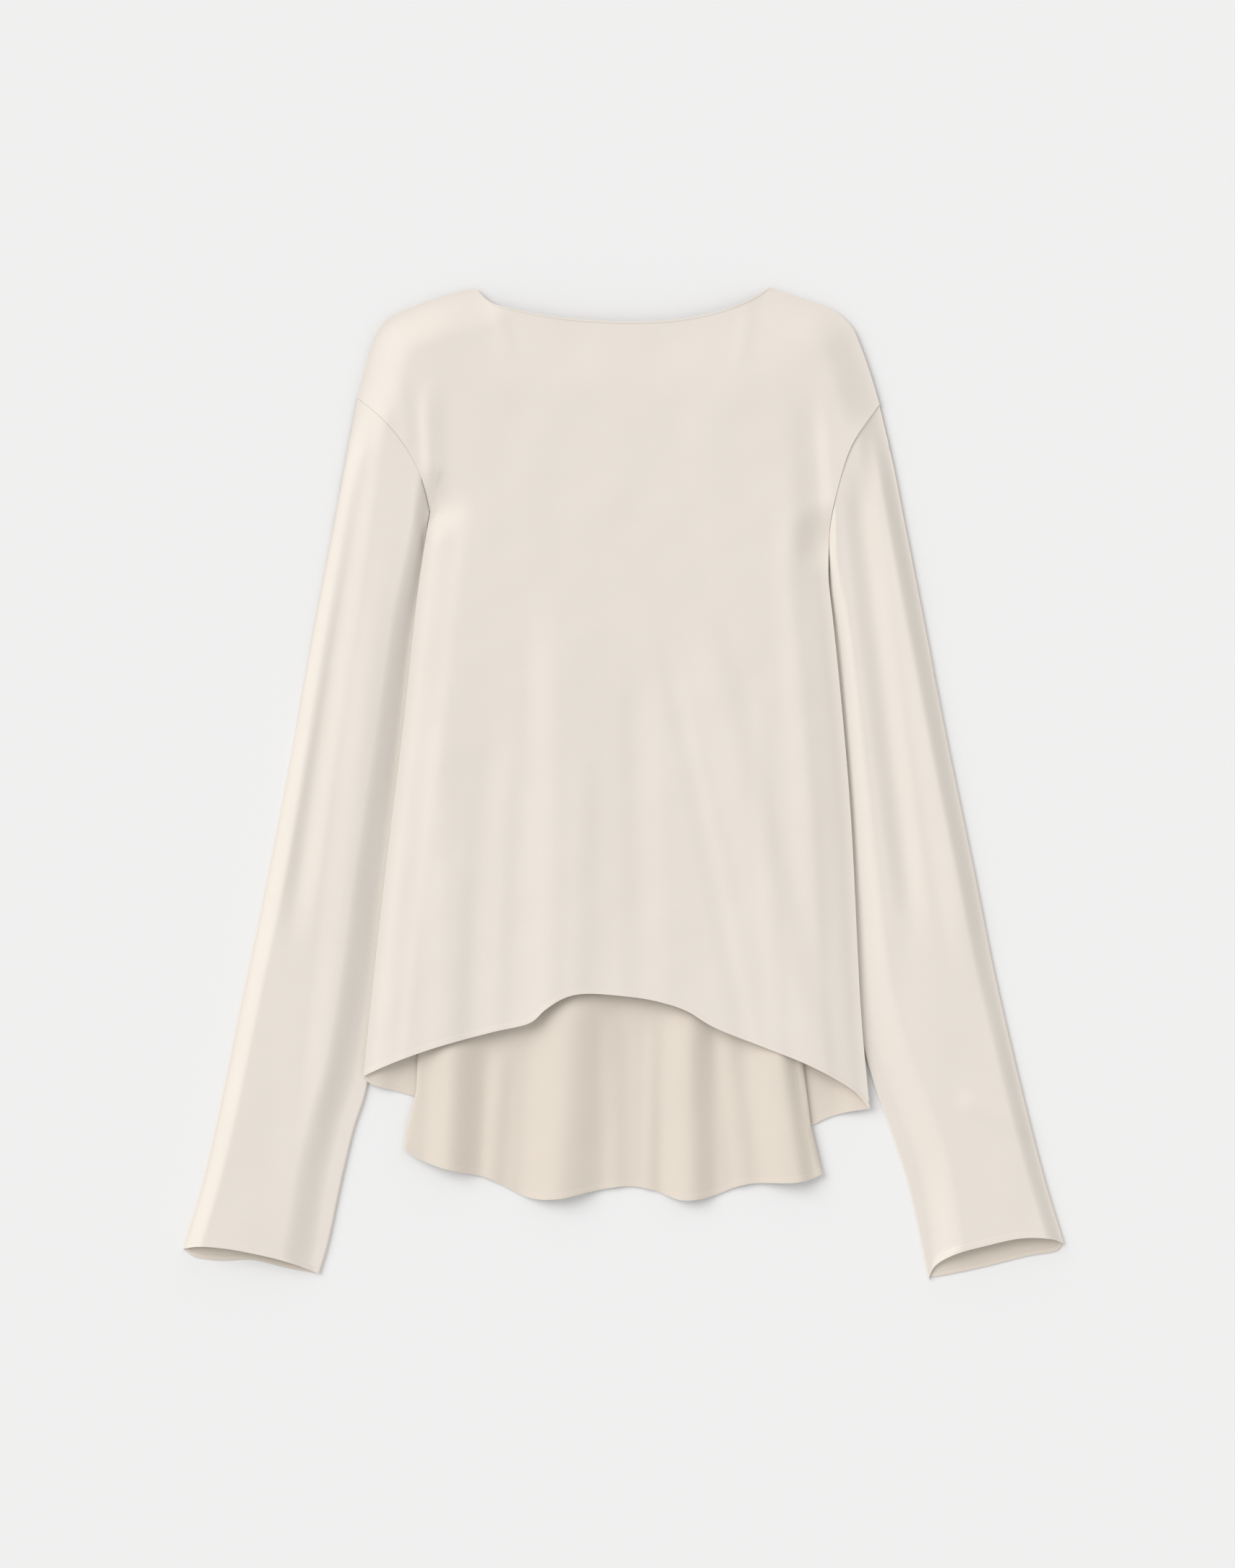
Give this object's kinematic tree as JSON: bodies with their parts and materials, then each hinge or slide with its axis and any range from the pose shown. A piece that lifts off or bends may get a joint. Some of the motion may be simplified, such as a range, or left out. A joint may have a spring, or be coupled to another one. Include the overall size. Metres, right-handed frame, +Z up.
{
  "type": "silk blouse",
  "caption": "Long-sleeved pullover blouse in ivory silk with a wide boat neck and a longer back hem, laid flat.",
  "frame": {"origin": "middle of the box on the floor that the blouse lies on", "axes": "+Z up out of the front, +Y towards the neck, +X across the body towards the sleeve on the right of the picture"},
  "size_m": [0.671, 0.7543, 0.0159],
  "materials": {
    "front": "ivory silk crepe, soft sheen",
    "back": "ivory silk crepe, soft sheen",
    "sleeve_left": "ivory silk crepe, soft sheen",
    "sleeve_right": "ivory silk crepe, soft sheen"
  },
  "bodies": {
    "root": {"front": "front", "back": "back", "sleeve_left": "sleeve_left", "sleeve_right": "sleeve_right"}
  },
  "joints": []
}
